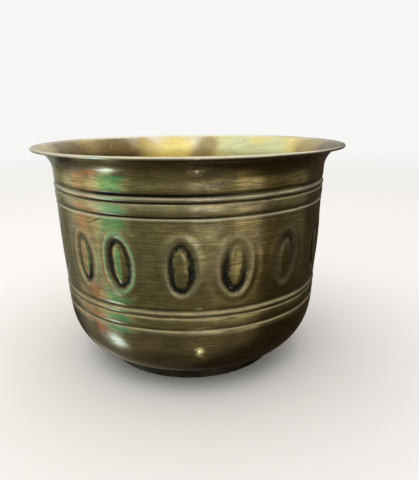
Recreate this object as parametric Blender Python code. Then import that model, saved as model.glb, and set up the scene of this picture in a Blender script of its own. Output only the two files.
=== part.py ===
"""Brass planter pot: one spun sheet with a wired rim, two beaded bands and a belt of chased ovals,
standing on a soldered foot ring. Metres, +Z up, origin under the pot at the middle of its foot.
An azimuth is measured from the front (-Y) towards the right (+X)."""

import bmesh
import bpy
from math import cos, pi, radians, sin

# Overall
OVERALL_HEIGHT = 0.176
RIM_RADIUS = 0.125

# Sheet and rim wire
SHEET = 0.0006
WIRE_RADIUS = 0.00045
WIRE_CLEARANCE = 0.0001
WIRE_SIDES = 8
CURL_START = radians(-170)
CURL_STEPS = 5

# Lip and wall: the neck stands inside the rim, and the wall narrows from the neck to the bowl
LIP_WIDTH = 0.0153
LIP_SLOPE = radians(20)
FLARE_RADIUS = 0.018
FLARE_STEPS = 3
WALL_TAPER = 0.0055

# Beaded bands: a narrow bead above a wide one, between three grooves
UPPER_BAND_DROP = 0.026
LOWER_BAND_TOP = 0.0702
NARROW_BEAD = 0.0049
WIDE_BEAD = 0.0095
GROOVE_WIDTH = 0.0022
GROOVE_DEPTH = 0.0008
BEAD_CROWN = 0.0003

# Bowl and base: the bowl rounds in from the wall to the flat base
BASE_HEIGHT = 0.0065
BOWL_REACH = 0.0462
BOWL_SQUARENESS = 2.2
BOWL_STEPS = 6

# Chased ovals: seven are placed one by one round the front, the rest are paced out round the back
FRONT_OVALS = (-58.6, -43.7, -26.4, -3.6, 16.3, 38.4, 63.2)
OVAL_COUNT = 18
BACK_WANDER = 1.2
OVAL_HALF_SPAN = radians(6)
OVAL_MARGIN = 0.0137
OVAL_DROP = 0.0019
# Raised lip, sunk moat and boss edge: shares of the oval's width and height, and relief
OVAL_RINGS = (
    (1.00, 1.00, 0.0005),
    (0.71, 0.85, -0.0012),
    (0.45, 0.68, -0.0001),
)
OVAL_BOSS = 0.0004

# Foot ring, of flat brass strip set outside the flat base, and its solder
FOOT_SET_OUT = 0.0129
FOOT_SPLAY = 0.0005
FOOT_STRIP = 0.0011
FOOT_EDGE = 0.0003
SEAT_CLEARANCE = 0.00015
SOLDER_LEG = 0.0024
SOLDER_THROAT = 0.0007

# Facets
CELL_STEPS = 4
RING_POINTS = 4 * CELL_STEPS

BEAD_RADIUS = WIRE_RADIUS + WIRE_CLEARANCE + SHEET
WIRE_CENTRE = (RIM_RADIUS - BEAD_RADIUS, OVERALL_HEIGHT - BEAD_RADIUS)
NECK_RADIUS = RIM_RADIUS - LIP_WIDTH
BAND_DEPTH = NARROW_BEAD + WIDE_BEAD
UPPER_BAND_TOP = OVERALL_HEIGHT - UPPER_BAND_DROP
BELT_TOP = UPPER_BAND_TOP - BAND_DEPTH
OVAL_CENTRE_HEIGHT = (BELT_TOP + LOWER_BAND_TOP) / 2 - OVAL_DROP
OVAL_HALF_HEIGHT = (BELT_TOP - LOWER_BAND_TOP) / 2 - OVAL_MARGIN
BOWL_TOP = LOWER_BAND_TOP - BAND_DEPTH
WALL_BOTTOM_RADIUS = NECK_RADIUS - WALL_TAPER
BASE_RADIUS = WALL_BOTTOM_RADIUS - BOWL_REACH
FOOT_TOP_RADIUS = BASE_RADIUS + FOOT_SET_OUT


def remove_everything():
    for obj in list(bpy.data.objects):
        bpy.data.objects.remove(obj)


def metal(name, colour, roughness):
    made = bpy.data.materials.new(name)
    made.use_nodes = True
    shader = made.node_tree.nodes["Principled BSDF"]
    shader.inputs["Base Color"].default_value = (*colour, 1)
    shader.inputs["Roughness"].default_value = roughness
    shader.inputs["Metallic"].default_value = 1
    return made


def flare_centre():
    """Centre of the flare's arc, which is tangent to the neck and to the slope of the lip."""
    across = NECK_RADIUS + FLARE_RADIUS
    normal = pi / 2 + LIP_SLOPE
    inner_curl = WIRE_RADIUS + WIRE_CLEARANCE
    rise = inner_curl - FLARE_RADIUS - (across - WIRE_CENTRE[0]) * cos(normal)
    return across, WIRE_CENTRE[1] + rise / sin(normal)


def wall_radius(height):
    """Outside radius of the tapered wall, before beads and ovals."""
    top = flare_centre()[1]
    share = (height - BOWL_TOP) / (top - BOWL_TOP)
    return WALL_BOTTOM_RADIUS + (NECK_RADIUS - WALL_BOTTOM_RADIUS) * share


def bowl_point(turn):
    """A point of the bowl's outside, from its top at turn 0 to the flat base at a quarter turn."""
    power = 2 / BOWL_SQUARENESS
    across = abs(cos(turn)) ** power
    down = abs(sin(turn)) ** power
    radius = BASE_RADIUS + (WALL_BOTTOM_RADIUS - BASE_RADIUS) * across
    return radius, BOWL_TOP - (BOWL_TOP - BASE_HEIGHT) * down


def bowl_outline():
    """The faceted bowl below the lower band, to the edge of the flat base."""
    return [bowl_point(pi / 2 * i / BOWL_STEPS) for i in range(1, BOWL_STEPS + 1)]


def bowl_height(radius):
    """Height of the faceted bowl's outside over the given radius, where the foot seats."""
    outline = bowl_outline()
    for (outer, top), (inner, bottom) in zip(outline[:-1], outline[1:]):
        if inner <= radius:
            break
    return bottom + (top - bottom) * (radius - inner) / (outer - inner)


def lip_outline():
    """The outside of the sheet from the cut edge of the curl, round the wire and down the flare."""
    points = []
    curl_end = pi / 2 + LIP_SLOPE
    inner_curl = WIRE_RADIUS + WIRE_CLEARANCE
    for i in range(CURL_STEPS + 1):
        turn = CURL_START + (curl_end - CURL_START) * i / CURL_STEPS
        points.append((WIRE_CENTRE[0] + inner_curl * cos(turn), WIRE_CENTRE[1] + inner_curl * sin(turn)))
    across, height = flare_centre()
    for i in range(FLARE_STEPS + 1):
        turn = curl_end + (pi - curl_end) * i / FLARE_STEPS
        points.append((across + FLARE_RADIUS * cos(turn), height + FLARE_RADIUS * sin(turn)))
    return points


def band_outline(top):
    """A band's grooves and beads, as points down the outside of the wall."""
    second = top - NARROW_BEAD
    third = second - WIDE_BEAD
    stations = (
        (top + GROOVE_WIDTH / 2, 0),
        (top, -GROOVE_DEPTH),
        (top - NARROW_BEAD / 2, BEAD_CROWN),
        (second, -GROOVE_DEPTH),
        (second - WIDE_BEAD / 2, BEAD_CROWN),
        (third, -GROOVE_DEPTH),
        (third - GROOVE_WIDTH / 2, 0),
    )
    return [(wall_radius(height) + relief, height) for height, relief in stations]


def oval_azimuths():
    """Azimuth of each oval, in radians, in order round the pot."""
    first, last = FRONT_OVALS[0], FRONT_OVALS[-1]
    behind = OVAL_COUNT - len(FRONT_OVALS)
    pace = (first + 360 - last) / (behind + 1)
    back = [last + pace * (i + 1) + BACK_WANDER * sin(2.4 * i) for i in range(behind)]
    return [radians(azimuth) for azimuth in (*FRONT_OVALS, *back)]


def columns():
    """Azimuths of the facets' edges: each oval has a cell, cut into equal steps."""
    ovals = oval_azimuths()
    edges = []
    for i, azimuth in enumerate(ovals):
        before = ovals[i - 1] - (2 * pi if i == 0 else 0)
        edges.append((before + azimuth) / 2)
    edges.append(edges[0] + 2 * pi)
    found = []
    for start, end in zip(edges[:-1], edges[1:]):
        found += [start + (end - start) * i / CELL_STEPS for i in range(CELL_STEPS)]
    return found


def place(radius, azimuth, height):
    return radius * sin(azimuth), -radius * cos(azimuth), height


def ring_of(mesh, point):
    radius, height = point
    return [mesh.verts.new(place(radius, azimuth, height)) for azimuth in columns()]


def join_rings(mesh, upper, lower):
    count = len(upper)
    for i in range(count):
        after = (i + 1) % count
        mesh.faces.new((lower[i], lower[after], upper[after], upper[i]))


def finish_object(name, mesh, material):
    data = bpy.data.meshes.new(name)
    mesh.to_mesh(data)
    mesh.free()
    data.materials.append(material)
    data.shade_smooth()
    data.set_sharp_from_angle(angle=radians(40))
    obj = bpy.data.objects.new(name, data)
    bpy.context.scene.collection.objects.link(obj)
    return obj


def revolve(name, section, material):
    """A closed ring from a closed section, whose points run anticlockwise with the axis on its left."""
    mesh = bmesh.new()
    rings = [ring_of(mesh, point) for point in section]
    for i, ring in enumerate(rings):
        join_rings(mesh, ring, rings[i - 1])
    return finish_object(name, mesh, material)


def oval_cell(mesh, oval, top, bottom, sides, first):
    """The sheet of one belt cell: rings from the cell's edge into the middle of its oval."""
    count = len(top)
    last = (first + CELL_STEPS) % count
    half = CELL_STEPS // 2
    right = [bottom[last], *sides[last], top[last]]
    left = [bottom[first], *sides[first], top[first]]
    across_top = [top[(first + i) % count] for i in range(CELL_STEPS + 1)]
    across_bottom = [bottom[(first + i) % count] for i in range(CELL_STEPS + 1)]
    edge = right[half:] + across_top[-2:0:-1] + left[::-1] + across_bottom[1:-1] + right[:half]
    outer = edge
    for width, height, relief in OVAL_RINGS:
        inner = []
        for i in range(RING_POINTS):
            turn = 2 * pi * i / RING_POINTS
            level = OVAL_CENTRE_HEIGHT + OVAL_HALF_HEIGHT * height * sin(turn)
            azimuth = oval + OVAL_HALF_SPAN * width * cos(turn)
            inner.append(mesh.verts.new(place(wall_radius(level) + relief, azimuth, level)))
        for i in range(RING_POINTS):
            after = (i + 1) % RING_POINTS
            mesh.faces.new((outer[i], outer[after], inner[after], inner[i]))
        outer = inner
    boss = mesh.verts.new(place(wall_radius(OVAL_CENTRE_HEIGHT) + OVAL_BOSS, oval, OVAL_CENTRE_HEIGHT))
    for i in range(RING_POINTS):
        mesh.faces.new((outer[i], outer[(i + 1) % RING_POINTS], boss))


def pot_body(material):
    """The spun sheet, drawn as its outside and then thickened inwards."""
    mesh = bmesh.new()
    upper = [ring_of(mesh, point) for point in lip_outline() + band_outline(UPPER_BAND_TOP)]
    lower = [ring_of(mesh, point) for point in band_outline(LOWER_BAND_TOP) + bowl_outline()]
    for rings in (upper, lower):
        for above, below in zip(rings[:-1], rings[1:]):
            join_rings(mesh, above, below)
    belt_top, belt_bottom = upper[-1], lower[0]
    azimuths = columns()
    high = belt_top[0].co.z
    low = belt_bottom[0].co.z
    sides = {}
    for i in range(0, len(azimuths), CELL_STEPS):
        sides[i] = []
        for step in range(1, CELL_STEPS):
            level = low + (high - low) * step / CELL_STEPS
            sides[i].append(mesh.verts.new(place(wall_radius(level), azimuths[i], level)))
    for number, oval in enumerate(oval_azimuths()):
        oval_cell(mesh, oval, belt_top, belt_bottom, sides, number * CELL_STEPS)
    middle = mesh.verts.new((0, 0, BASE_HEIGHT))
    base_edge = lower[-1]
    for i, vert in enumerate(base_edge):
        mesh.faces.new((middle, base_edge[(i + 1) % len(base_edge)], vert))
    body = finish_object("pot_body", mesh, material)
    thickness = body.modifiers.new("Sheet", "SOLIDIFY")
    thickness.thickness = SHEET
    thickness.offset = -1
    thickness.use_even_offset = True
    return body


def rim_wire(material):
    """The wire that the rim is rolled round."""
    section = []
    for i in range(WIRE_SIDES):
        turn = 2 * pi * i / WIRE_SIDES
        section.append((WIRE_CENTRE[0] + WIRE_RADIUS * cos(turn), WIRE_CENTRE[1] + WIRE_RADIUS * sin(turn)))
    return revolve("rim_wire", section, material)


def foot_side(height, inset):
    """Radius of the splayed foot's outer face at a height, less an inset."""
    return FOOT_TOP_RADIUS + FOOT_SPLAY * (1 - height / bowl_height(FOOT_TOP_RADIUS)) - inset


def foot_ring(material):
    """A strip rolled into a ring, its top filed to the bowl and its lower corners eased."""
    inner_top = FOOT_TOP_RADIUS - FOOT_STRIP
    section = [
        (foot_side(0, FOOT_STRIP - FOOT_EDGE), 0),
        (foot_side(0, FOOT_EDGE), 0),
        (foot_side(FOOT_EDGE, 0), FOOT_EDGE),
        (FOOT_TOP_RADIUS, bowl_height(FOOT_TOP_RADIUS) - SEAT_CLEARANCE),
        (inner_top, bowl_height(inner_top) - SEAT_CLEARANCE),
        (foot_side(FOOT_EDGE, FOOT_STRIP), FOOT_EDGE),
    ]
    return revolve("foot_ring", section, material)


def foot_solder(material):
    """The fillet of soft solder in the corner between the foot ring and the bowl."""
    outer = FOOT_TOP_RADIUS - FOOT_STRIP - SEAT_CLEARANCE
    inner = outer - SOLDER_LEG
    top = bowl_height(outer) - 2 * SEAT_CLEARANCE
    inner_top = bowl_height(inner) - SEAT_CLEARANCE
    middle = outer - SOLDER_LEG / 2
    section = [
        (outer, top - SOLDER_LEG),
        (outer, top),
        (middle, bowl_height(middle) - SEAT_CLEARANCE),
        (inner, inner_top),
        (middle + SOLDER_THROAT / 2, top - SOLDER_LEG / 2),
    ]
    return revolve("foot_solder", section, material)


def build():
    remove_everything()
    brass = metal("aged_brass", (0.42, 0.33, 0.15), 0.34)
    strip = metal("foot_brass", (0.30, 0.24, 0.12), 0.40)
    wire = metal("wire_steel", (0.45, 0.44, 0.42), 0.35)
    solder = metal("soft_solder", (0.45, 0.45, 0.44), 0.55)
    pot_body(brass)
    rim_wire(wire)
    foot_ring(strip)
    foot_solder(solder)


build()
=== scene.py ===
from math import cos, exp, hypot, pi, radians, sin
from random import Random

import bpy
from mathutils import Matrix, Vector


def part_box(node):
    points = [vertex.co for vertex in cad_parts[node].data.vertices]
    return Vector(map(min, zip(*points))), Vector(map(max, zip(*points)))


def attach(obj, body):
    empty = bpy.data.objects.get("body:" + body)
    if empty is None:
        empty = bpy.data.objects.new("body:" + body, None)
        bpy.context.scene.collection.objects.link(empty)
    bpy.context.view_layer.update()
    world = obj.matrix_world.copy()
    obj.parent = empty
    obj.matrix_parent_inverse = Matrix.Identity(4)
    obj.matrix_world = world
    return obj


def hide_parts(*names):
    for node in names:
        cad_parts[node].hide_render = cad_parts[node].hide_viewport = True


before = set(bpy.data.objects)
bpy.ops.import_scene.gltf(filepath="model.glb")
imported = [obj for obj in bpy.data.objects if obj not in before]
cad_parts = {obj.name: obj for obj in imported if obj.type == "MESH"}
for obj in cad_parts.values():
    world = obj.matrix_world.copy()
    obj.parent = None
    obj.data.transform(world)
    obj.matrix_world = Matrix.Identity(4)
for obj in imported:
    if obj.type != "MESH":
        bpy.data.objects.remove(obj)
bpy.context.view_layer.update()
mm = 0.001

potLow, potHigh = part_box("pot_body")
rimRadius = (potHigh.x - potLow.x) / 2 / mm
rimHeight = potHigh.z / mm
print("frame loaded, rim", round(2 * rimRadius), "mm across")


# Node trees written as sums. A Wire is one output socket.
class Wire:
    def __init__(self, web, socket):
        self.web = web
        self.socket = socket

    def __add__(self, other):
        return self.web.maths("ADD", self, other)

    def __sub__(self, other):
        return self.web.maths("SUBTRACT", self, other)

    def __mul__(self, other):
        return self.web.maths("MULTIPLY", self, other)

    def __truediv__(self, other):
        return self.web.maths("DIVIDE", self, other)

    def __pow__(self, other):
        return self.web.maths("POWER", self, other)

    def __radd__(self, other):
        return self.web.maths("ADD", other, self)

    def __rsub__(self, other):
        return self.web.maths("SUBTRACT", other, self)

    def __rmul__(self, other):
        return self.web.maths("MULTIPLY", other, self)

    def __rtruediv__(self, other):
        return self.web.maths("DIVIDE", other, self)

    def __neg__(self):
        return self.web.maths("MULTIPLY", self, -1)


class Web:
    def __init__(self, tree):
        self.tree = tree

    def feed(self, made, sockets):
        # A socket takes another node's wire or a plain value
        for name, value in sockets.items():
            if isinstance(value, Wire):
                self.tree.links.new(value.socket, made.inputs[name])
            else:
                made.inputs[name].default_value = value

    def node(self, kind, settings=None, sockets=None):
        made = self.tree.nodes.new(kind)
        for name, value in (settings or {}).items():
            setattr(made, name, value)
        self.feed(made, sockets or {})
        return made

    def wire(self, kind, settings=None, sockets=None, out=0):
        return Wire(self, self.node(kind, settings, sockets).outputs[out])

    def maths(self, operation, *values):
        return self.wire("ShaderNodeMath", {"operation": operation}, dict(enumerate(values)))

    def vectorMaths(self, operation, *values, out=0):
        return self.wire("ShaderNodeVectorMath", {"operation": operation}, dict(enumerate(values)), out)

    def step(self, value, low, high):
        # Smooth rise from low to high; it falls when low is the larger
        return self.wire("ShaderNodeMapRange", {"interpolation_type": "SMOOTHSTEP"},
                         {0: value, 1: low, 2: high})

    def bell(self, value, centre, width):
        away = (value - centre) / width
        return self.maths("EXPONENT", -(away * away))

    def clamp(self, value):
        return self.wire("ShaderNodeClamp", sockets={0: value})

    def larger(self, one, other):
        return self.maths("MAXIMUM", one, other)

    def xyz(self, x, y, z):
        return self.wire("ShaderNodeCombineXYZ", sockets={0: x, 1: y, 2: z})

    def parts(self, vector):
        made = self.node("ShaderNodeSeparateXYZ", sockets={0: vector})
        return [Wire(self, made.outputs[i]) for i in range(3)]

    def noise(self, vector, scale, detail=2, roughness=0.5, distortion=0):
        return self.wire("ShaderNodeTexNoise", sockets={"Vector": vector, "Scale": scale, "Detail": detail,
                                                        "Roughness": roughness, "Distortion": distortion})

    def grain(self, vector, scales, detail=2, roughness=0.5, distortion=0):
        # Noise with a scale of its own along each axis
        return self.noise(self.vectorMaths("MULTIPLY", vector, scales), 1, detail, roughness, distortion)

    def mixColour(self, share, low, high):
        return self.wire("ShaderNodeMix", {"data_type": "RGBA"}, {0: share, 6: low, 7: high}, out=2)

    def near(self, place, azimuth, radius, height, reach):
        # 1 within a quarter of the reach of a spot on the pot, 0 past its reach
        spot = (radius * mm * sin(radians(azimuth)), -radius * mm * cos(radians(azimuth)), height * mm)
        away = self.vectorMaths("DISTANCE", place, spot, out=1)
        return self.step(away, reach * mm, 0.25 * reach * mm)

    def attribute(self, name, out="Fac"):
        return self.wire("ShaderNodeAttribute", {"attribute_name": name}, out=out)


# The sheet's section, as (radius, height, marks) rows: down the outside, then up the inside
pot = {
    "sheet": 0.6, "wire": 0.45, "wireGap": 0.1, "curlEnd": -170,
    "lipWidth": 15.3, "lipSlope": 20, "flareRadius": 18, "wallTaper": 5.5, "swell": 0.6,
    "upperBandDrop": 26, "lowerBandTop": 70.2, "narrowBead": 4.9, "wideBead": 9.5,
    "narrowCrown": 0.6, "wideCrown": 0.45, "crownPower": 0.8,
    "edgeCrown": 0.35, "edgeDrop": 1.5, "edgeWidth": 0.8,
    "grooveDepths": (1.0, 0.75, 0.8), "grooveHalfWidths": (1.1, 0.62, 0.68), "grimeWidth": 2.6,
    "baseHeight": 6.5, "bowlReach": 46.2, "bowlSquareness": 2.2, "bowlStart": 1.7,
    # How worn the lower band's crests are (a pale rub, partly a painted highlight), and how much duller and
    # darker the bowl and the base are (partly tarnish, partly painted shade), from 0 to 1
    "lowerWear": 0.35, "bowlDullAndShade": 0.48, "bowlDullAndShadeDeepens": 0.35, "baseDullAndShade": 0.6,
    # Rows and columns of the mesh; a tuple gives the rows' own places
    "columns": 396, "curlRows": 10, "lipRows": (0.25, 0.5, 0.75), "flareRows": 9, "neckRows": 4,
    "grooveRows": (-1.5, -0.95, -0.5, -0.15, 0.15, 0.5, 0.95, 1.5), "beadRows": (0.28, 0.5, 0.72),
    "beltRows": 41, "bowlRows": 22, "baseRows": (0.6, 0.2, 0), "rollRows": 13,
}
curlInside = pot["wire"] + pot["wireGap"]
beadRadius = curlInside + pot["sheet"]
wireCentre = (rimRadius - beadRadius, rimHeight - beadRadius)
neckRadius = rimRadius - pot["lipWidth"]
wallFoot = neckRadius - pot["wallTaper"]
bandDepth = pot["narrowBead"] + pot["wideBead"]
bandReach = pot["grooveRows"][-1]
upperBandTop = rimHeight - pot["upperBandDrop"]
beltTop = upperBandTop - bandDepth
bowlTop = pot["lowerBandTop"] - bandDepth
baseRadius = wallFoot - pot["bowlReach"]
# The flare is an arc that leaves the straight lip without a kink and ends upright at the neck
lipTurn = pi / 2 + radians(pot["lipSlope"])
flareAcross = neckRadius + pot["flareRadius"]
lipRun = (flareAcross - wireCentre[0]) * cos(lipTurn)
flareHeight = wireCentre[1] + (curlInside - pot["flareRadius"] - lipRun) / sin(lipTurn)
flareCentre = (flareAcross, flareHeight)

# Grooves down a band: place, depth and half width
grooves = tuple(zip((0, pot["narrowBead"], bandDepth), pot["grooveDepths"], pot["grooveHalfWidths"]))


def wallRadius(height):
    share = (height - bowlTop) / (flareHeight - bowlTop)
    belt = min(max((height - pot["lowerBandTop"]) / (beltTop - pot["lowerBandTop"]), 0), 1)
    return wallFoot + (neckRadius - wallFoot) * share + pot["swell"] * sin(pi * belt)


def hump(value, centre, width):
    return exp(-(((value - centre) / width) ** 2))


def crown(depth, start, length):
    # A rounded bead between two grooves
    share = (depth - start) / length
    return sin(pi * share) ** pot["crownPower"] if 0 < share < 1 else 0


def bandRow(depth, wear):
    # Relief and marks of a band at a depth below its top
    cut = sum(deep * hump(depth, place, half) for place, deep, half in grooves)
    dark = sum(hump(depth, place, 1.1 * half) for place, deep, half in grooves)
    grime = max(hump(depth, place, pot["grimeWidth"]) for place, deep, half in grooves)
    narrow = crown(depth, 0, pot["narrowBead"])
    wide = crown(depth, pot["narrowBead"], pot["wideBead"])
    edge = hump(depth, bandDepth + pot["edgeDrop"], pot["edgeWidth"])
    relief = pot["narrowCrown"] * narrow + pot["wideCrown"] * wide + pot["edgeCrown"] * edge - cut
    rubbed = min(narrow ** 2 + 0.4 * wide + edge, 1)
    return relief, {"groove": min(dark, 1), "worn": wear * rubbed, "grime": grime}


def bandRows(top, wear):
    # Rows crowd into each groove and thin out over the beads
    depths = [place + offset for place, deep, half in grooves for offset in pot["grooveRows"]]
    depths.append(pot["narrowBead"] / 2)
    depths += [pot["narrowBead"] + pot["wideBead"] * share for share in pot["beadRows"]]
    rows = []
    for depth in sorted(depths):
        relief, marks = bandRow(depth, wear)
        rows.append((wallRadius(top - depth) + relief, top - depth, marks))
    return rows


def steps(start, end, count, first=0):
    return [start + (end - start) * i / count for i in range(first, count + 1)]


def onArc(centre, radius, turn):
    return centre[0] + radius * cos(turn), centre[1] + radius * sin(turn)


def between(start, end, share):
    return start[0] + (end[0] - start[0]) * share, start[1] + (end[1] - start[1]) * share


def outsideRows():
    rows = []
    for turn in steps(radians(pot["curlEnd"]), lipTurn, pot["curlRows"]):
        rows.append((*onArc(wireCentre, curlInside, turn), {"rim": 1}))
    lipStart = rows[-1]
    lipEnd = onArc(flareCentre, pot["flareRadius"], lipTurn)
    # The under mark dulls and darkens the lip's underside, the flare, the bowl and the base: partly tarnish,
    # partly painted shade on faces that turn downward
    for share in pot["lipRows"]:
        rows.append((*between(lipStart, lipEnd, share), {"under": 1}))
    for turn in steps(lipTurn, pi, pot["flareRows"]):
        marks = {"under": (pi - turn) / (pi - lipTurn)}
        rows.append((*onArc(flareCentre, pot["flareRadius"], turn), marks))
    for height in steps(flareHeight, upperBandTop + bandReach, pot["neckRows"], first=1)[:-1]:
        rows.append((wallRadius(height), height, {}))
    rows += bandRows(upperBandTop, 1)
    for height in steps(beltTop - bandReach, pot["lowerBandTop"] + bandReach, pot["beltRows"], first=1)[:-1]:
        rows.append((wallRadius(height), height, {}))
    rows += bandRows(pot["lowerBandTop"], pot["lowerWear"])
    power = 2 / pot["bowlSquareness"]
    bowlDepth = bowlTop - pot["baseHeight"]
    start = (pot["bowlStart"] / bowlDepth) ** (1 / power)  # just under the last row of the band
    for turn in steps(start, pi / 2, pot["bowlRows"], first=1):
        radius = baseRadius + pot["bowlReach"] * abs(cos(turn)) ** power
        height = bowlTop - bowlDepth * abs(sin(turn)) ** power
        rows.append((radius, height, {"under": pot["bowlDullAndShade"] + pot["bowlDullAndShadeDeepens"] * sin(turn) ** 3}))
    for share in pot["baseRows"]:
        rows.append((baseRadius * share, pot["baseHeight"], {"under": pot["baseDullAndShade"]}))
    return rows


def insideRows(outside):
    # The sheet's other face: every second row set in by the sheet's thickness, then the lip and its roll
    rows = [(0, pot["baseHeight"] + pot["sheet"], {"side": 1})]
    lipRow = pot["curlRows"] + len(pot["lipRows"])
    for i in range(len(outside) - 3, lipRow, -2):
        radius, height, marks = outside[i]
        across, down = outside[i + 1][0] - outside[i - 1][0], outside[i + 1][1] - outside[i - 1][1]
        inwards = pot["sheet"] / hypot(across, down)
        dark = 0.5 * marks.get("groove", 0)
        rows.append((radius + inwards * down, height - inwards * across, {"side": 1, "groove": dark}))
    lipEnd = rows[-1]
    rollStart = onArc(wireCentre, beadRadius, lipTurn)
    for share in pot["lipRows"]:
        marks = {"side": 1 - share, "rim": 0.25 + 0.75 * share}  # the inside's colour gives way to the lip's
        rows.append((*between(lipEnd, rollStart, share), marks))
    for turn in steps(lipTurn, radians(pot["curlEnd"]), pot["rollRows"]):
        rows.append((*onArc(wireCentre, beadRadius, turn), {"rim": 1}))
    return rows


def looseObject(name, points, columns):
    # Loose points in metres, with a column of numbers for each attribute
    mesh = bpy.data.meshes.new(name)
    mesh.from_pydata(points, [], [])
    for key, values in columns.items():
        mesh.attributes.new(key, "FLOAT", "POINT").data.foreach_set("value", values)
    made = bpy.data.objects.new(name, mesh)
    bpy.context.scene.collection.objects.link(made)
    return made


def sectionObject(name, rows):
    # A section's points, each with its marks and its distance along the section in tenths of a metre
    columns = {key: [marks.get(key, 0) for radius, height, marks in rows]
               for key in ("groove", "worn", "grime", "side", "rim", "under")}
    columns["along"] = [0]
    for here, before in zip(rows[1:], rows):
        columns["along"].append(columns["along"][-1] + hypot(here[0] - before[0], here[1] - before[1]) / 100)
    return looseObject(name, [(radius * mm, 0, height * mm) for radius, height, marks in rows], columns)


ovals = {
    # From the front: azimuth, rise, lean, half width, half height, depth (1 is full),
    # the side the tool leaned to, and how much it leaned (0 to 1)
    "front": (
        (-65, 1.0, 3, 10.6, 19.0, 0.4, 0, 0.2), (-44.9, 0.6, 5, 11.2, 20.2, 0.8, -90, 0.2),
        (-27.1, 1.0, 4, 11.6, 20.4, 1.1, 200, 0.15), (-3.8, 0.0, 1, 11.6, 20.4, 1.15, -80, 0.15),
        (16.2, -0.3, -2, 11.8, 20.6, 1.0, -110, 0.65), (38.4, 0.3, -2, 11.8, 20.6, 0.68, 60, 0.3),
        (63.2, -0.6, -2, 11.2, 20.2, 1.1, 180, 0.1),
    ),
    # The others are drawn from these ranges, in the same order after the azimuth
    "ranges": ((-1.5, 1.5), (-4, 4), (10.8, 11.6), (19.6, 20.6), (0.7, 1.2), (-180, 180), (0.1, 0.5)),
    "count": 18, "height": 101, "wander": 1.6, "seed": 7, "wallRadius": 106.2,
    # Relief of the raised lip, the beaten moat, the boss inside it and the faint hollow outside;
    # places and widths are measured outwards from the oval's outline
    "lip": 0.32, "lipPlace": 0.5, "lipWidth": 2.6, "moat": 1.0, "moatPlace": -4.2, "moatWidth": 2.4,
    "boss": 0.4, "bossEdges": (-4.5, -9.5), "hollow": 0.12, "hollowPlace": 4.6, "hollowWidth": 2.4,
    "wobble": 2.6, "wobbleScale": 1.3, "heftScale": 0.9,
}
# Slack in the spun wall, dying out towards the stiff rim and the foot
slackness = {
    "waviness": 0.35, "foot": (34, 58), "rim": (162, 146), "patternRadius": 106,
    "broadScale": 18, "broadShare": 2.6, "fineScale": 70, "fineShare": 0.25, "liftScale": 14, "lift": 0.7,
}


def ovalMarks():
    # One loose point at the middle of each oval, with its own lean, size and depth
    rows = list(ovals["front"])
    draw = Random(ovals["seed"])
    behind = ovals["count"] - len(rows)
    first, last = rows[0][0], rows[-1][0]
    for i in range(behind):
        azimuth = last + (first + 360 - last) * (i + 1) / (behind + 1)
        azimuth += draw.uniform(-1, 1) * ovals["wander"]
        rows.append((azimuth, *(draw.uniform(low, high) for low, high in ovals["ranges"])))
    radius = wallRadius(ovals["height"]) * mm
    points = [(radius * sin(radians(row[0])), -radius * cos(radians(row[0])), (ovals["height"] + row[1]) * mm)
              for row in rows]
    columns = {}
    for column, key in enumerate(("lean", "halfWidth", "halfHeight", "depth", "heavySide", "heavy"), 2):
        columns[key] = [radians(row[column]) if key in ("lean", "heavySide") else row[column] for row in rows]
    return looseObject("ovalMarks", points, columns)


def newTree(name, sockets):
    tree = bpy.data.node_groups.new(name, "GeometryNodeTree")
    tree.interface.new_socket("Geometry", in_out="INPUT", socket_type="NodeSocketGeometry")
    tree.interface.new_socket("Geometry", in_out="OUTPUT", socket_type="NodeSocketGeometry")
    for label, kind in sockets:
        tree.interface.new_socket(label, in_out="INPUT", socket_type="NodeSocket" + kind)
    web = Web(tree)
    entry = web.node("NodeGroupInput")
    return tree, web, {item.name: Wire(web, item) for item in entry.outputs if item.name}


def sampleAt(web, source, value, index, kind="FLOAT"):
    return web.wire("GeometryNodeSampleIndex", {"data_type": kind, "domain": "POINT"},
                    {"Geometry": source, "Value": value, "Index": index})


def sampleMark(web, source, name, index):
    mark = web.wire("GeometryNodeInputNamedAttribute", {"data_type": "FLOAT"}, {"Name": name})
    return sampleAt(web, source, mark, index)


def turned(web, section, columns):
    # A grid whose rows take the section's points and whose columns go round the axis
    rows = web.wire("GeometryNodeAttributeDomainSize", {"component": "MESH"}, {"Geometry": section})
    grid = web.wire("GeometryNodeMeshGrid", sockets={"Vertices X": columns + 1, "Vertices Y": rows + 1})
    index = web.wire("GeometryNodeInputIndex")
    column = web.maths("FLOOR", (index + 0.5) / (rows + 1))
    row = web.maths("MODULO", web.maths("ROUND", index - column * (rows + 1)), rows)
    azimuth = column / columns * (2 * pi)
    place = sampleAt(web, section, web.wire("GeometryNodeInputPosition"), row, "FLOAT_VECTOR")
    radius, unused, height = web.parts(place)
    return grid, row, azimuth, radius, height


def keep(web, geometry, name, value, kind="FLOAT"):
    return web.wire("GeometryNodeStoreNamedAttribute", {"data_type": kind, "domain": "POINT"},
                    {"Geometry": geometry, "Name": name, "Value": value})


def finishTree(web, geometry, position, material):
    # The weld closes the seam and the poles
    weld = 0.01 * mm
    geometry = web.wire("GeometryNodeSetPosition", sockets={"Geometry": geometry, "Position": position})
    geometry = web.wire("GeometryNodeMergeByDistance", sockets={"Geometry": geometry, "Distance": weld})
    geometry = web.wire("GeometryNodeSetShadeSmooth", sockets={0: geometry})
    geometry = web.wire("GeometryNodeRealizeInstances", sockets={"Geometry": geometry})
    geometry = web.wire("GeometryNodeSetMaterial", sockets={"Geometry": geometry, "Material": material})
    web.node("NodeGroupOutput", sockets={"Geometry": geometry})


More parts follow.
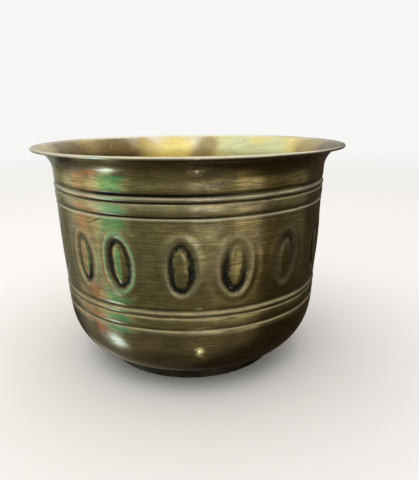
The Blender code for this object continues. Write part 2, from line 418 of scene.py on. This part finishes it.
def spunTree():
    tree, web, given = newTree("spunAndBeaten", (
        ("Ovals", "Object"), ("Columns", "Int"), ("Moat Depth", "Float"), ("Lip Height", "Float"),
        ("Boss Height", "Float"), ("Moat Place", "Float"), ("Waviness", "Float"), ("Material", "Material")))
    section = given["Geometry"]
    grid, row, azimuth, radius, height = turned(web, section, given["Columns"])
    sine, cosine = web.maths("SINE", azimuth), web.maths("COSINE", azimuth)
    pattern = slackness["patternRadius"] * mm
    wallPlace = web.xyz(sine * pattern, cosine * -pattern, height)

    # Each point looks up the oval nearest to it, and how far it is from that oval's outline
    marks = web.wire("GeometryNodeObjectInfo", sockets={"Object": given["Ovals"]}, out="Geometry")
    nearest = web.wire("GeometryNodeSampleNearest", {"domain": "POINT"},
                       {"Geometry": marks, "Sample Position": wallPlace})
    centre = sampleAt(web, marks, web.wire("GeometryNodeInputPosition"), nearest, "FLOAT_VECTOR")
    lean, halfWidth, halfHeight, depth, heavySide, heavy = (
        sampleMark(web, marks, key, nearest)
        for key in ("lean", "halfWidth", "halfHeight", "depth", "heavySide", "heavy"))
    centreX, centreY, centreZ = web.parts(centre)
    swing = web.maths("WRAP", azimuth - web.maths("ARCTAN2", centreX, -centreY), pi, -pi)
    across, upward = swing * ovals["wallRadius"], (height - centreZ) / mm
    leanSine, leanCosine = web.maths("SINE", lean), web.maths("COSINE", lean)
    unitX = (across * leanCosine + upward * leanSine) / halfWidth
    unitY = (upward * leanCosine - across * leanSine) / halfHeight
    reach = web.larger(web.maths("SQRT", unitX * unitX + unitY * unitY), 0.02)
    slant = web.maths("SQRT", (unitX / halfWidth) ** 2 + (unitY / halfHeight) ** 2)
    # Hand-beaten: the outline wanders in and out as it goes round, in each oval in its own way
    aim = web.xyz(unitX / reach, unitY / reach, centreX * 40 + centreY * 25)
    wobble = (web.noise(aim, ovals["wobbleScale"], 1) - 0.5) * ovals["wobble"]
    edge = (reach - 1) * reach / web.larger(slant, 0.0005) + wobble
    edge = web.maths("MINIMUM", web.larger(edge, -12), 12)
    leaning = 1 + heavy * web.maths("COSINE", web.maths("ARCTAN2", unitY, unitX) - heavySide)
    heft = depth * (0.7 + 0.6 * web.noise(aim, ovals["heftScale"], 1)) * leaning
    moat = web.bell(edge, given["Moat Place"], ovals["moatWidth"]) * given["Moat Depth"]
    lip = web.bell(edge, ovals["lipPlace"], ovals["lipWidth"]) * given["Lip Height"]
    boss = web.step(edge, *ovals["bossEdges"]) * given["Boss Height"]
    hollow = web.bell(edge, ovals["hollowPlace"], ovals["hollowWidth"]) * ovals["hollow"]
    relief = (lip + boss - moat - hollow) * heft * mm

    (footFrom, footTo), (rimFrom, rimTo) = slackness["foot"], slackness["rim"]
    slack = web.step(height, footFrom * mm, footTo * mm) * web.step(height, rimFrom * mm, rimTo * mm)
    broad = (web.noise(wallPlace, slackness["broadScale"], 1) - 0.5) * slackness["broadShare"]
    fine = (web.noise(wallPlace, slackness["fineScale"], 1) - 0.5) * slackness["fineShare"]
    relief = relief + (broad + fine) * slack * given["Waviness"]
    lift = (web.noise(wallPlace, slackness["liftScale"], 1) - 0.5) * slack * (slackness["lift"] * mm)

    for key in ("groove", "worn", "grime", "side", "rim", "under"):
        grid = keep(web, grid, key, sampleMark(web, section, key, row))
    grid = keep(web, grid, "ovalEdge", edge)
    grid = keep(web, grid, "ovalHeft", heft)
    lathe = web.xyz(sine, -cosine, sampleMark(web, section, "along", row))
    grid = keep(web, grid, "lathe", lathe, "FLOAT_VECTOR")
    grid = web.wire("GeometryNodeFlipFaces", sockets={"Mesh": grid})  # the section runs down the outside
    position = web.xyz(sine * (radius + relief), -cosine * (radius + relief), height + lift)
    finishTree(web, grid, position, given["Material"])
    return tree


def ringTree():
    tree, web, given = newTree("turnedRing", (
        ("Columns", "Int"), ("Lumps", "Float"), ("Lump Scale", "Float"), ("Material", "Material")))
    section = given["Geometry"]
    grid, row, azimuth, radius, height = turned(web, section, given["Columns"])
    sine, cosine = web.maths("SINE", azimuth), web.maths("COSINE", azimuth)
    place = web.xyz(sine * radius, -cosine * radius, height)
    lump = (web.noise(place, given["Lump Scale"], 3) - 0.5) * given["Lumps"]
    lump = lump * sampleMark(web, section, "side", row)
    grid = keep(web, grid, "worn", sampleMark(web, section, "worn", row))
    lathe = web.xyz(sine, -cosine, sampleMark(web, section, "along", row))
    grid = keep(web, grid, "lathe", lathe, "FLOAT_VECTOR")
    position = web.xyz(sine * (radius + lump), -cosine * (radius + lump), height + lump)
    finishTree(web, grid, position, given["Material"])
    return tree


def shaped(name, rows, tree, inputs):
    # Runs a tree on a section, then leaves a plain mesh
    made = sectionObject(name, rows)
    modifier = made.modifiers.new("Shape", "NODES")
    modifier.node_group = tree
    for item in tree.interface.items_tree:
        if item.in_out == "INPUT" and item.name in inputs:
            modifier[item.identifier] = inputs[item.name]
    bpy.context.view_layer.update()
    graph = bpy.context.evaluated_depsgraph_get()
    finished = made.evaluated_get(graph)
    mesh = bpy.data.meshes.new_from_object(finished, preserve_all_data_layers=True, depsgraph=graph)
    mesh.name = name
    made.modifiers.clear()
    made.data = mesh
    triangles = sum(len(face.vertices) - 2 for face in mesh.polygons)
    print(name, len(mesh.vertices), "points,", triangles, "triangles")
    return made


def newMaterial(name):
    made = bpy.data.materials.new(name)
    made.use_nodes = True
    web = Web(made.node_tree)
    return made, web, made.node_tree.nodes["Principled BSDF"]


brass = {
    # Linear colours. Worn is pale rubbed brass, and also a painted highlight where it lies on the lip, the
    # crests and the inside's far rim
    "clean": (0.68, 0.565, 0.235, 1), "olive": (0.27, 0.235, 0.07, 1), "brown": (0.13, 0.095, 0.04, 1),
    "grey": (0.20, 0.165, 0.105, 1), "black": (0.018, 0.019, 0.020, 1), "worn": (0.95, 0.91, 0.76, 1),
    "gold": (0.95, 0.79, 0.27, 1), "goldMid": (0.66, 0.52, 0.19, 1), "goldShade": (0.34, 0.27, 0.13, 1),
    "goldDullAndShade": (0.14, 0.09, 0.028, 1), "goldGreen": (0.66, 0.73, 0.43, 1),
    "roughness": 0.18, "anisotropy": 0.6, "coat": 0.6, "coatRoughness": 0.035, "coatIor": 1.7,
    "bumpStrength": 0.3, "bumpDepth": 0.3, "lowShadeTop": 30, "lowShadeEnd": 12,
    # Noise scales, per metre; brushing and scratches follow the lathe
    "cloud": 20, "mottle": 75, "speck": 330, "tarnish": (30, 30, 110), "scrawl": (150, 150, 330),
    "brushWide": (4, 4, 95), "brushFine": (12, 12, 260), "scratch": (9, 9, 420), "packing": (6, 6, 20),
    # Spots: azimuth, radius, height and reach. Stained places outside, fine scribbles,
    # grooves packed with dirt, and the stretches of the lip where its painted highlight is dimmed and where
    # it is strongest
    "smudges": (
        (-16, 110, 160, 30), (6, 110, 158, 24), (24, 110, 164, 26), (7, 107, 126, 18), (58, 108, 158, 40),
        (-13, 106, 76, 14), (6, 106, 86, 15), (75, 106, 100, 45), (-36, 106, 84, 14), (40, 85, 25, 45),
    ),
    "scribbles": (
        (9, 110, 159, 16), (22, 107, 120, 14), (2, 107, 118, 12), (30, 110, 141, 16), (-66, 109, 160, 14),
    ),
    "packed": (-14, 109, 148, 78),
    "lipHighlightGaps": (
        (62, 124, 175, 62), (98, 122, 174, 52), (128, 124, 175, 30), (-112, 120, 172, 45),
        (-80, 122, 174, 26),
    ),
    "lipPaintedHighlight": (180, 122, 175, 130),
    # Patches on the inside at fixed places, each a colour, strength and spots: the pale ones are a painted
    # highlight on the far rim, the bright gold and green ones are partly painted reflection and partly the
    # brass's own tone, the shaded ones are painted shade, and the dark ones are painted shade and partly dull
    # tarnish
    "inside": (
        ("worn", 0.8, ((158, 121, 173, 24), (178, 121, 173, 24), (-164, 122, 174, 18), (-148, 122, 174, 18))),
        ("gold", 0.9, ((-173, 111, 162, 28), (160, 116, 170, 18), (-166, 106, 130, 34))),
        ("goldGreen", 0.85, ((154, 111, 160, 34), (132, 111, 160, 28), (138, 106, 142, 32))),
        ("goldShade", 0.85, ((170, 112, 167, 17), (173, 110, 152, 20), (108, 115, 168, 30))),
        ("goldDullAndShade", 0.97,
         ((-138, 109, 153, 54), (-108, 112, 165, 44), (-120, 105, 140, 45), (88, 116, 172, 36))),
    ),
}
# One long scratch: its middle's azimuth, radius and height, its lean, half length and half width
gouge = {"middle": (-36.5, 107, 131.0), "lean": 20, "halfLength": 6.5, "halfWidth": 0.65, "reach": 20}


def gougeMark(web, place):
    azimuth, radius, height = gouge["middle"]
    x, y, z = web.parts(place)
    across = (x * cos(radians(azimuth)) + y * sin(radians(azimuth))) / mm
    upward = z / mm - height
    leanSine, leanCosine = sin(radians(gouge["lean"])), cos(radians(gouge["lean"]))
    along = web.bell(across * leanCosine + upward * leanSine, 0, gouge["halfLength"])
    aside = web.bell(upward * leanCosine - across * leanSine, 0, gouge["halfWidth"])
    return aside * along * web.step(web.near(place, *gouge["middle"], gouge["reach"]), 0.0, 0.1)


def insideGoldAndPaintedLight(web, place, cloud, mottle, tarnish):
    skin = web.mixColour(web.step(cloud, 0.32, 0.68), brass["goldMid"], brass["gold"])
    # Painted highlight, reflection and shade laid onto the inside's gold at fixed places
    for colour, strength, spots in brass["inside"]:
        for spot in spots:
            patch = web.clamp(web.near(place, *spot) * (0.65 + 0.9 * mottle))
            skin = web.mixColour(patch * strength, skin, brass[colour])
    return web.mixColour(web.step(tarnish, 0.42, 0.78) * 0.35, skin, brass["goldShade"])


def agedBrass():
    made, web, shader = newMaterial("agedBrass")
    place = web.wire("ShaderNodeTexCoord", out="Object")
    lathe = web.attribute("lathe", "Vector")
    groove, grime, worn, side, rim, under, edge, heft = (
        web.attribute(name)
        for name in ("groove", "grime", "worn", "side", "rim", "under", "ovalEdge", "ovalHeft"))

    cloud = web.noise(place, brass["cloud"], 4, 0.6)
    mottle = web.noise(place, brass["mottle"], 3, 0.6, 0.3)
    speck = web.noise(place, brass["speck"], 3, 0.7)
    tarnish = web.grain(place, brass["tarnish"], 4, 0.7, 0.8)
    brushFine = web.grain(lathe, brass["brushFine"], 2, 0.6)
    brush = web.grain(lathe, brass["brushWide"], 3, 0.7) * 0.5 + brushFine * 0.5
    scratch = web.grain(lathe, brass["scratch"], 1, 0.5)
    smudged = web.clamp(sum(web.near(place, *spot) for spot in brass["smudges"]))
    scribbled = web.clamp(sum(web.near(place, *spot) for spot in brass["scribbles"]))
    scribbled = web.bell(web.grain(place, brass["scrawl"], 1, 0.5, 2.5), 0.5, 0.022) * scribbled
    gouged = gougeMark(web, place)

    # Dirt lies in the grooves and the beaten moats, and stains spread from them
    ragged = (mottle - 0.5) * 1.5 + (speck - 0.5) * 4.5
    moat = web.clamp(web.bell(edge + ragged, -4.6, 3.2) * (0.1 + 0.9 * heft)) * (0.7 + 0.5 * speck)
    crest = web.bell(edge + ragged * 0.5, 0.2, 1.9)
    halo = web.bell(edge + ragged * 1.4, 3.4, 2.6) * web.step(cloud, 0.38, 0.6)
    packing = 0.35 + 0.5 * web.grain(lathe, brass["packing"]) + 0.6 * web.near(place, *brass["packed"])
    dirt = web.clamp(web.larger(groove * packing, moat))
    spread = web.step(tarnish, 0.46, 0.68) * (0.35 + 0.5 * smudged) + grime * (0.25 + 0.5 * smudged)
    stain = web.clamp(web.step(cloud, 0.45, 0.70) * 0.35 + halo * 0.35 + spread)
    # Pale rubbed crests on the beads, the band's lower edge and the ovals' raised lips: partly wear, partly a
    # painted highlight
    rubbed = web.clamp(worn * 0.55 + crest * 0.28) * (0.3 + 0.7 * brushFine)

    skin = web.mixColour(web.step(brush, 0.38, 0.62), brass["olive"], brass["clean"])
    # Grey where the under mark lies: partly tarnish, partly painted shade on faces that turn downward; the
    # mottle adds some grey at random
    dull = web.clamp(under * 0.9 + web.step(mottle, 0.52, 0.38) * 0.3)
    skin = web.mixColour(dull, skin, brass["grey"])
    skin = web.mixColour(stain * (0.5 + 0.6 * speck), skin, brass["brown"])
    skin = web.mixColour(web.step(scratch, 0.60, 0.70) * 0.6, skin, brass["brown"])
    skin = web.mixColour(rubbed, skin, brass["worn"])
    skin = web.mixColour(side, skin, insideGoldAndPaintedLight(web, place, cloud, mottle, tarnish))
    # The lip: pale where it is rubbed, and also a painted highlight, strongest at the back and dimmed at the
    # listed stretches
    polishAndHighlight = rim * (0.35 + 0.4 * speck + 0.5 * web.near(place, *brass["lipPaintedHighlight"]))
    for spot in brass["lipHighlightGaps"]:
        polishAndHighlight = polishAndHighlight * (1 - 0.85 * web.near(place, *spot))
    skin = web.mixColour(polishAndHighlight, skin, brass["worn"])
    skin = web.mixColour(web.clamp(scribbled * 0.7 + gouged) * (1 - side), skin, brass["black"])
    skin = web.mixColour(dirt * (1 - 0.75 * side), skin, brass["black"])
    # Painted shade: the outside darkens to near black towards the foot
    low = web.step(web.parts(place)[2], brass["lowShadeTop"] * mm, brass["lowShadeEnd"] * mm)
    skin = web.mixColour(low * (1 - side) * 0.8, skin, brass["black"])

    rough = brass["roughness"] + stain * 0.12 + dirt * 0.5 + (0.5 - brush) * 0.2 + side * 0.05
    relief = brush * 0.5 + speck * 0.2 + mottle * 0.3 - scribbled * 0.8 - gouged * 1.5
    bump = web.wire("ShaderNodeBump", sockets={
        "Strength": brass["bumpStrength"], "Distance": brass["bumpDepth"] * mm, "Height": relief})
    web.feed(shader, {
        "Base Color": skin, "Metallic": 1.0, "Roughness": web.clamp(rough), "Normal": bump,
        "Anisotropic": brass["anisotropy"], "Anisotropic Rotation": 0.25,
        "Coat Weight": brass["coat"] * (1 - dirt) * (1 - 0.75 * side),
        "Coat Roughness": brass["coatRoughness"], "Coat IOR": brass["coatIor"]})
    return made


darkBrass = {
    "dark": (0.040, 0.035, 0.022, 1), "darker": (0.014, 0.013, 0.009, 1),
    "brushed": (0.10, 0.083, 0.045, 1), "worn": (0.20, 0.17, 0.095, 1),
    "cloud": 45, "speck": 420, "brush": (8, 8, 160), "roughness": 0.42, "coat": 0.2, "coatRoughness": 0.25,
}


def footBrass():
    made, web, shader = newMaterial("footBrass")
    place = web.wire("ShaderNodeTexCoord", out="Object")
    cloud = web.noise(place, darkBrass["cloud"], 4, 0.6)
    speck = web.noise(place, darkBrass["speck"], 2)
    brush = web.grain(web.attribute("lathe", "Vector"), darkBrass["brush"], 3, 0.6)
    rubbed = web.attribute("worn") * web.step(speck, 0.5, 0.7)
    skin = web.mixColour(web.step(cloud, 0.35, 0.7), darkBrass["dark"], darkBrass["darker"])
    skin = web.mixColour(web.step(brush, 0.5, 0.7) * 0.4, skin, darkBrass["brushed"])
    skin = web.mixColour(rubbed * 0.6, skin, darkBrass["worn"])
    relief = brush * 0.6 + speck * 0.4
    bump = web.wire("ShaderNodeBump", sockets={"Strength": 0.4, "Distance": 0.3 * mm, "Height": relief})
    web.feed(shader, {
        "Base Color": skin, "Metallic": 1.0, "Normal": bump,
        "Roughness": web.clamp(darkBrass["roughness"] + cloud * 0.25),
        "Coat Weight": darkBrass["coat"], "Coat Roughness": darkBrass["coatRoughness"]})
    return made


solder = {
    "dull": (0.30, 0.30, 0.29, 1), "bright": (0.52, 0.52, 0.50, 1), "grime": (0.10, 0.085, 0.06, 1),
    "lump": 180, "cloud": 60, "roughness": 0.42,
}


def softSolder():
    made, web, shader = newMaterial("softSolder")
    place = web.wire("ShaderNodeTexCoord", out="Object")
    lump = web.noise(place, solder["lump"], 3, 0.6)
    grime = web.step(web.noise(place, solder["cloud"], 4, 0.65), 0.42, 0.68)
    skin = web.mixColour(lump, solder["dull"], solder["bright"])
    skin = web.mixColour(grime * 0.7, skin, solder["grime"])
    bump = web.wire("ShaderNodeBump", sockets={"Strength": 0.5, "Distance": 0.4 * mm, "Height": lump})
    web.feed(shader, {
        "Base Color": skin, "Metallic": 1.0, "Normal": bump,
        "Roughness": web.clamp(solder["roughness"] + grime * 0.3)})
    return made


steel = {
    "dull": (0.36, 0.35, 0.33, 1), "bright": (0.52, 0.50, 0.47, 1), "rust": (0.18, 0.09, 0.045, 1),
    "drawn": (40, 40, 900), "spots": 120, "roughness": 0.3,
}


def rimSteel():
    made, web, shader = newMaterial("rimSteel")
    place = web.wire("ShaderNodeTexCoord", out="Object")
    drawn = web.grain(place, steel["drawn"], 3)
    rust = web.step(web.noise(place, steel["spots"], 3), 0.5, 0.7)
    skin = web.mixColour(drawn, steel["dull"], steel["bright"])
    skin = web.mixColour(rust * 0.6, skin, steel["rust"])
    web.feed(shader, {
        "Base Color": skin, "Metallic": 1.0, "Roughness": web.clamp(steel["roughness"] + rust * 0.4)})
    return made


# The foot's ring stands on its splayed lower edge, and the solder fills the corner inside it
foot = {
    "setOut": 12.9, "splay": 0.5, "strip": 1.1, "ease": 0.3, "seatGap": 0.15, "columns": 240,
    "solderLeg": 2.4, "solderThroat": 0.7, "solderEase": 0.2, "solderLumps": 1.0, "lumpScale": 160.0,
    "easeRows": 3, "sideRows": 3, "wear": (0.3, 1, 0, 0), "smoothSolderRows": range(4, 23),
}
footTop = baseRadius + foot["setOut"]


def bowlHeight(radius):
    share = max(radius - baseRadius, 0) / pot["bowlReach"]
    down = (1 - share ** pot["bowlSquareness"]) ** (1 / pot["bowlSquareness"])
    return bowlTop - (bowlTop - pot["baseHeight"]) * down


def seat(radius):
    # Just under the bowl
    return radius, bowlHeight(radius) - foot["seatGap"]


def roundedSection(corners, ease):
    # A closed section as (place, corner number) rows, its corners eased and a few rows along each side
    rows = []
    points = [Vector(corner) for corner in corners]
    for i, here in enumerate(points):
        after = points[(i + 1) % len(points)]
        toBefore, toAfter = points[i - 1] - here, after - here
        cut = min(ease, 0.4 * toBefore.length, 0.4 * toAfter.length)
        start = here + toBefore.normalized() * cut
        end = here + toAfter.normalized() * cut
        for share in steps(0, 1, foot["easeRows"]):
            rows.append((start * (1 - share) ** 2 + here * 2 * share * (1 - share) + end * share ** 2, i))
        nextStart = after - toAfter.normalized() * min(ease, 0.4 * toAfter.length)
        for share in steps(0, 1, foot["sideRows"] + 1, first=1)[:-1]:
            rows.append((end.lerp(nextStart, share), None))
    return rows


def footRing(tree):
    outer, inner = footTop, footTop - foot["strip"]
    corners = [(inner + foot["splay"], 0), (outer + foot["splay"], 0), seat(outer), seat(inner)]
    rows = [(place.x, place.y, {"worn": 0 if corner is None else foot["wear"][corner]})
            for place, corner in roundedSection(corners, foot["ease"])]
    return shaped("footStrip", rows, tree, {"Columns": foot["columns"], "Material": footBrass()})


def footSolder(tree):
    outer = footTop - foot["strip"] - foot["seatGap"]
    middle, inner = outer - foot["solderLeg"] / 2, outer - foot["solderLeg"]
    top = bowlHeight(outer) - 2 * foot["seatGap"]
    throat = (middle + foot["solderThroat"] / 2, top - foot["solderLeg"] / 2)
    corners = [(outer, top - foot["solderLeg"]), (outer, top), seat(middle), seat(inner), throat]
    # Only the fillet's open face is lumpy
    rows = [(place.x, place.y, {"side": 0 if i in foot["smoothSolderRows"] else 1})
            for i, (place, corner) in enumerate(roundedSection(corners, foot["solderEase"]))]
    return shaped("solderFillet", rows, tree, {
        "Columns": foot["columns"], "Lumps": foot["solderLumps"] * mm, "Lump Scale": foot["lumpScale"],
        "Material": softSolder()})


def rimWire(tree):
    rows = [(*onArc(wireCentre, pot["wire"], turn), {}) for turn in steps(0, 2 * pi, 12)[:-1]]
    return shaped("rimCore", rows, tree, {"Columns": pot["columns"], "Material": rimSteel()})


def spunPot(tree):
    marks = ovalMarks()
    outside = outsideRows()
    made = shaped("spunBody", outside + insideRows(outside), tree, {
        "Ovals": marks, "Columns": pot["columns"], "Moat Depth": ovals["moat"], "Lip Height": ovals["lip"],
        "Boss Height": ovals["boss"], "Moat Place": ovals["moatPlace"],
        "Waviness": slackness["waviness"] * mm, "Material": agedBrass()})
    bpy.data.objects.remove(marks)
    return made


print("making the pot")
potBody = spunPot(spunTree())
print("making the foot, its solder and the rim wire")
ring = ringTree()
pieces = (
    (potBody, "pot_body", "aged_brass"), (rimWire(ring), "rim_wire", "wire_steel"),
    (footRing(ring), "foot_ring", "foot_brass"), (footSolder(ring), "foot_solder", "soft_solder"),
)
for piece, node, slot in pieces:
    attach(piece, "root")
    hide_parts(node)

print("making the studio")
studio = {
    "backdrop": (0.93, 0.925, 0.915, 1), "darkest": (0.008, 0.007, 0.005),
    # The room's light from above to below, and the dusk on its dim side; then the elevations
    # between which each gives way to the next
    "ceiling": (1.05, 1.03, 0.98, 1), "room": (0.50, 0.48, 0.42, 1), "low": (0.13, 0.125, 0.10, 1),
    "table": (0.19, 0.165, 0.12, 1), "under": (0.085, 0.072, 0.05, 1),
    "dusk": (0.05, 0.038, 0.024, 1), "duskLow": (0.032, 0.022, 0.013, 1),
    "ceilingFade": (-9, 40), "lowFade": (-26, -2), "tableFade": (-28, -40), "underFade": (-50, -68),
    "duskFade": (-20, -34),
}
# The dim side of the room: azimuth of its middle, half width and softness
dimSide = {"centre": 118, "half": 45, "soft": 45}
# Soft panels round the pot, added to the room or taken from it: azimuth, elevation, half width,
# half height, softness and radiance
panels = (
    (13, -9, 9, 5, 7, (0.72, 0.69, 0.79)),           # pale wall ahead
    (33, -26, 12, 4, 4, (0.17, 0.14, 0.10)),         # its lower corner
    (49, -17, 8, 3, 6, (0.55, 0.47, 0.38)),          # picture rail to its right
    (66, -10, 6, 6, 9, (0.10, 0.08, 0.06)),          # the wall past it
    (55, -42, 10, 6, 8, (0.06, 0.05, 0.035)),        # table beyond the mat
    (96, -8, 12, 6, 10, (0.10, 0.092, 0.078)),       # dark wall, right
    (-38, -10, 12, 6, 6, (-0.08, -0.05, -0.05)),     # shade left of the wall
    (-54, -16, 2, 12, 3, (0.22, 0.20, 0.17)),        # pale edge of the curtain
    (-69, -14, 9, 14, 6, (-0.10, 0.36, 0.22)),       # green curtain, muted
    (-84, -14, 5, 16, 4, (0.40, 0.34, 0.31)),        # window frame
    (-92, -12, 22, 14, 14, (0.20, 0.20, 0.18)),      # window wall
    (-112, -14, 3, 16, 3, (0.10, 0.09, 0.07)),       # second frame
    (-96, -31, 4, 3, 3, (0.80, 0.09, 0.0)),          # warm cushion, muted
    (-103, -17, 4, 5, 5, (0.30, 0.03, 0.0)),         # its back
    (-90, -43, 12, 4, 8, (0.38, 0.50, 0.58)),        # sky in the window
    (-87, -43, 5, 3, 5, (1.8, 2.4, 3.6)),            # the brightest of it
    (-142, -6, 12, 8, 8, (-0.15, -0.14, -0.16)),     # shade far left
    (-162, -31, 22, 6, 6, (-0.08, -0.08, -0.07)),    # shade behind, left
    (-162, -8, 14, 10, 6, (0.08, 0.11, 0.11)),       # cool light behind, left
    (-152, -41, 7, 4, 5, (0.25, 0.28, 0.22)),        # door behind, left
    (172, -14, 3, 14, 2, (1.2, 1.3, 1.4)),           # narrow strip behind, right
    (8.5, -59, 0.5, 1.3, 0.5, (48, 48, 48)),         # small lamp
)


def makeWorld():
    world = bpy.data.worlds.new("studioLight")
    bpy.context.scene.world = world
    world.use_nodes = True
    web = Web(world.node_tree)
    x, y, z = web.parts(web.wire("ShaderNodeTexCoord", out="Generated"))
    azimuth = web.maths("ARCTAN2", x, -y) * (180 / pi)
    elevation = web.maths("ARCSINE", z) * (180 / pi)
    light = web.mixColour(web.step(elevation, *studio["lowFade"]), studio["low"], studio["room"])
    for name in ("table", "under"):
        light = web.mixColour(web.step(elevation, *studio[name + "Fade"]), light, studio[name])
    turn = web.maths("ABSOLUTE", web.maths("WRAP", azimuth - dimSide["centre"], 180, -180))
    dim = web.step(turn, dimSide["half"] + dimSide["soft"], dimSide["half"])
    dusk = web.mixColour(web.step(elevation, *studio["duskFade"]), studio["dusk"], studio["duskLow"])
    light = web.mixColour(dim, light, dusk)
    light = web.mixColour(web.step(elevation, *studio["ceilingFade"]), light, studio["ceiling"])
    for centre, level, halfWidth, halfHeight, soft, radiance in panels:
        aside = web.maths("ABSOLUTE", web.maths("WRAP", azimuth - centre, 180, -180))
        above = web.maths("ABSOLUTE", elevation - level)
        sideways = web.step(aside, halfWidth + soft, halfWidth)
        amount = sideways * web.step(above, halfHeight + soft, halfHeight)
        glow = web.wire("ShaderNodeVectorMath", {"operation": "SCALE"}, {0: radiance, "Scale": amount})
        light = web.vectorMaths("ADD", light, glow)
    light = web.vectorMaths("MAXIMUM", light, studio["darkest"])
    seen = web.wire("ShaderNodeLightPath", out="Is Camera Ray")
    light = web.mixColour(seen, light, studio["backdrop"])
    web.feed(world.node_tree.nodes["Background"], {"Color": light})


# Overhead, for the floor, the lip and the inside; place and size in metres
softLight = {"size": 1.6, "energy": 8.0, "colour": (1.0, 0.97, 0.92), "place": (-0.25, -0.2, 1.3)}


def makeSoftbox():
    data = bpy.data.lights.new("softbox", "AREA")
    data.size = softLight["size"]
    data.energy = softLight["energy"]
    data.color = softLight["colour"]
    softbox = bpy.data.objects.new("softbox", data)
    softbox.location = softLight["place"]
    softbox.rotation_euler = (-softbox.location).to_track_quat("-Z", "Y").to_euler()
    softbox.visible_glossy = False
    bpy.context.scene.collection.objects.link(softbox)


# Metres; far off the floor fades into the backdrop
paleFloor = {"size": 9.0, "colour": (0.79, 0.785, 0.795, 1), "roughness": 0.9, "fade": (0.6, 2.2)}


def makeFloor():
    mesh = bpy.data.meshes.new("floor")
    half = paleFloor["size"] / 2
    corners = [(-half, -half, 0), (half, -half, 0), (half, half, 0), (-half, half, 0)]
    mesh.from_pydata(corners, [], [(0, 1, 2, 3)])
    floor = bpy.data.objects.new("floor", mesh)
    bpy.context.scene.collection.objects.link(floor)
    material, web, shader = newMaterial("paleFloor")
    web.feed(shader, {"Base Color": paleFloor["colour"], "Roughness": paleFloor["roughness"]})
    away = web.vectorMaths("LENGTH", web.wire("ShaderNodeTexCoord", out="Object"), out=1)
    glow = web.wire("ShaderNodeEmission", sockets={"Color": studio["backdrop"]})
    faded = web.wire("ShaderNodeMixShader", sockets={
        0: web.step(away, *paleFloor["fade"]), 1: Wire(web, shader.outputs[0]), 2: glow})
    web.feed(material.node_tree.nodes["Material Output"], {"Surface": faded})
    mesh.materials.append(material)
    floor.visible_glossy = False
    floor.visible_shadow = False


# At arm's length, a little above the rim and looking down into it
view = {
    "lens": 36.305, "sensor": 36, "distance": 408.6, "rise": 28.0, "pitch": 15.18, "yaw": 2.25, "roll": -0.52,
}


def makeCamera():
    data = bpy.data.cameras.new("camera")
    data.lens = view["lens"]
    data.sensor_width = view["sensor"]
    data.clip_start = 0.01
    camera = bpy.data.objects.new("camera", data)
    bpy.context.scene.collection.objects.link(camera)
    pitch, yaw, roll = radians(view["pitch"]), radians(view["yaw"]), radians(view["roll"])
    ahead = Vector((sin(yaw) * cos(pitch), cos(yaw) * cos(pitch), -sin(pitch)))
    right = Vector((cos(yaw), -sin(yaw), 0))
    above = right.cross(ahead)
    across = right * cos(roll) + above * sin(roll)
    upward = above * cos(roll) - right * sin(roll)
    place = Vector((0, -view["distance"] * mm, (wireCentre[1] + view["rise"]) * mm))
    turn = Matrix((across, upward, -ahead)).transposed().to_4x4()
    camera.matrix_world = Matrix.Translation(place) @ turn
    bpy.context.scene.camera = camera


makeWorld()
makeSoftbox()
makeFloor()
makeCamera()
bpy.context.scene.view_settings.view_transform = "Standard"

print("finished")
